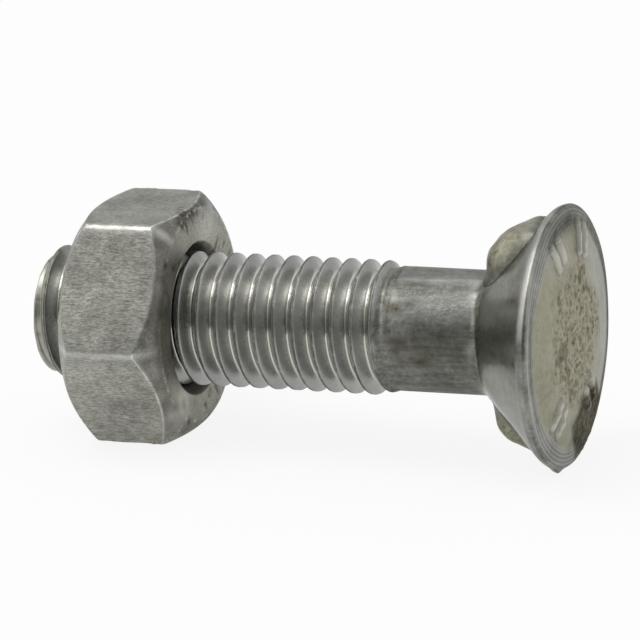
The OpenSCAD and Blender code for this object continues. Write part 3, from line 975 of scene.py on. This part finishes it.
# White paper under the bolt, a plane through its two lowest points. To the camera it is mostly plain
# white, with a share of lit paper that keeps the shadow, and metal mirrors a lower white.
def makeFloor(spec):
    (x0, z0), (x1, z1) = spec["rimTouch"], spec["nutTouch"]
    flat = np.array([[-1, -1], [1, -1], [1, 1], [-1, 1]]) * spec["half"]
    up = z0 + (flat[:, 0] - x0) * (z1 - z0) / (x1 - x0) - spec["gap"]
    mesh = bpy.data.meshes.new("floor")
    mesh.from_pydata((np.column_stack([flat, up]) * mm).tolist(), [], [(0, 1, 2, 3)])
    floor = bpy.data.objects.new("floor", mesh)
    scene.collection.objects.link(floor)
    material = bpy.data.materials.new("white_paper_floor")
    material.use_nodes = True
    tree = material.node_tree
    tree.nodes.clear()
    paper = addNode(tree, "BsdfDiffuse", {"Color": (0.9, 0.9, 0.9, 1)})
    white = addNode(tree, "Emission", {"Color": (1, 1, 1, 1), "Strength": 1.0})
    path = addNode(tree, "LightPath").outputs
    mirrored = addNode(tree, "Math", {0: path["Is Glossy Ray"], 1: path["Is Transmission Ray"]},
                       operation="MAXIMUM")
    across = addNode(tree, "SeparateXYZ", {0: addNode(tree, "TexCoord").outputs["Object"]}).outputs[1]
    full = spec["mirroredWhite"]
    level = addNode(tree, "MapRange", {
        "Value": across, "From Min": spec["front"][0], "From Max": spec["front"][1],
        "To Min": full * spec["frontShare"], "To Max": full})
    mirrored = addNode(tree, "Math", {0: mirrored, 1: level}, operation="MULTIPLY")
    share = addNode(tree, "Math", {0: path["Is Camera Ray"], 1: spec["seenWhite"], 2: mirrored},
                    operation="MULTIPLY_ADD")
    blend = addNode(tree, "MixShader", {0: share, 1: paper, 2: white})
    addNode(tree, "OutputMaterial", {"Surface": blend})
    mesh.materials.append(material)


# metres and watts
lamps = [
    {"name": "soft_top", "toward": (-0.34, -0.1, 0.93), "distance": 0.6, "size": (0.3, 0.42), "power": 1.15},
    {"name": "soft_left", "toward": (-0.74, -0.5, 0.48), "distance": 0.6, "size": (0.2, 0.3), "power": 0.22},
    {"name": "soft_back", "toward": (-0.5, 0.9, 0.75), "distance": 0.8, "size": (0.5, 0.3), "power": 0.06},
]


# A soft box at a distance from the bolt's middle in the direction given, turned to face it
def makeLamp(spec):
    data = bpy.data.lights.new(spec["name"], "AREA")
    data.shape = "RECTANGLE"
    data.size, data.size_y = spec["size"]
    data.energy = spec["power"]
    lamp = bpy.data.objects.new(spec["name"], data)
    direction = Vector(spec["toward"]).normalized()
    centre = Vector((-20 * mm, 0, 0))
    turn = direction.to_track_quat("Z", "Y").to_matrix().to_4x4()
    lamp.matrix_world = Matrix.Translation(direction * spec["distance"] + centre) @ turn
    scene.collection.objects.link(lamp)


room = {
    "level": 0.5,
    "overhead": 0.85,
    "rise": (0.05, 0.95),          # heights of a direction between which the light rises to overhead
    "darkSide": (0.35, -0.9, 0.1),
    "darkFrom": (0.45, 0.9),       # how far a direction leans to the dark side, from no dimming to full
    "dark": 0.2,
}


# A studio that is even at the horizon and brighter overhead, by the height of the direction,
# and dim on the open side in front
def makeRoom(spec):
    world = bpy.data.worlds.new("studio")
    scene.world = world
    world.use_nodes = True
    tree = world.node_tree
    tree.nodes.clear()
    toward = addNode(tree, "TexCoord").outputs["Generated"]
    height = addNode(tree, "SeparateXYZ", {0: toward}).outputs[2]
    glow = addNode(tree, "MapRange", {
        "Value": height, "From Min": spec["rise"][0], "From Max": spec["rise"][1],
        "To Min": spec["level"], "To Max": spec["overhead"]})
    facing = addNode(tree, "VectorMath", {0: toward, 1: spec["darkSide"]}, operation="DOT_PRODUCT")
    shade = addNode(tree, "MapRange", {
        "Value": facing.outputs["Value"], "From Min": spec["darkFrom"][0], "From Max": spec["darkFrom"][1],
        "To Min": 1.0, "To Max": spec["dark"]})
    glow = addNode(tree, "Math", {0: glow, 1: shade}, operation="MULTIPLY")
    light = addNode(tree, "Background", {"Color": (1, 1, 1, 1), "Strength": glow})
    addNode(tree, "OutputWorld", {"Surface": light})


view = {
    "azimuth": math.radians(21.36),
    "elevation": math.radians(17.39),
    "roll": math.radians(-3.75),
    "distance": 493.5,             # millimetres, as the target is
    "target": (-19.92, 0.0, 0.31),
    "focal": 6752.0,               # in pixels of the frame
    "frameWidth": 640,
    "sensor": 36.0,
}


# The camera looks at its target from an azimuth and elevation, and is rolled about that line;
# its three axes are worked out from those angles
def makeCamera(spec):
    az, el, roll = spec["azimuth"], spec["elevation"], spec["roll"]
    back = Vector((math.sin(az) * math.cos(el), -math.cos(az) * math.cos(el), math.sin(el)))
    right = (-back).cross(Vector((0, 0, 1))).normalized()
    up = right.cross(-back)
    data = bpy.data.cameras.new("camera")
    data.sensor_fit = "HORIZONTAL"
    data.sensor_width = spec["sensor"]
    data.lens = spec["focal"] / spec["frameWidth"] * spec["sensor"]
    data.clip_start, data.clip_end = 0.01, 10.0
    camera = bpy.data.objects.new("camera", data)
    rolledRight = right * math.cos(roll) + up * math.sin(roll)
    rolledUp = up * math.cos(roll) - right * math.sin(roll)
    turn = Matrix((rolledRight, rolledUp, back)).transposed().to_4x4()
    place = (Vector(spec["target"]) + back * spec["distance"]) * mm
    camera.matrix_world = Matrix.Translation(place) @ turn
    scene.collection.objects.link(camera)
    scene.camera = camera


makeFloor(stand)
for lampSpec in lamps:
    makeLamp(lampSpec)
makeRoom(room)
makeCamera(view)
scene.view_settings.view_transform = "Standard"
print("floor, lights and camera set")
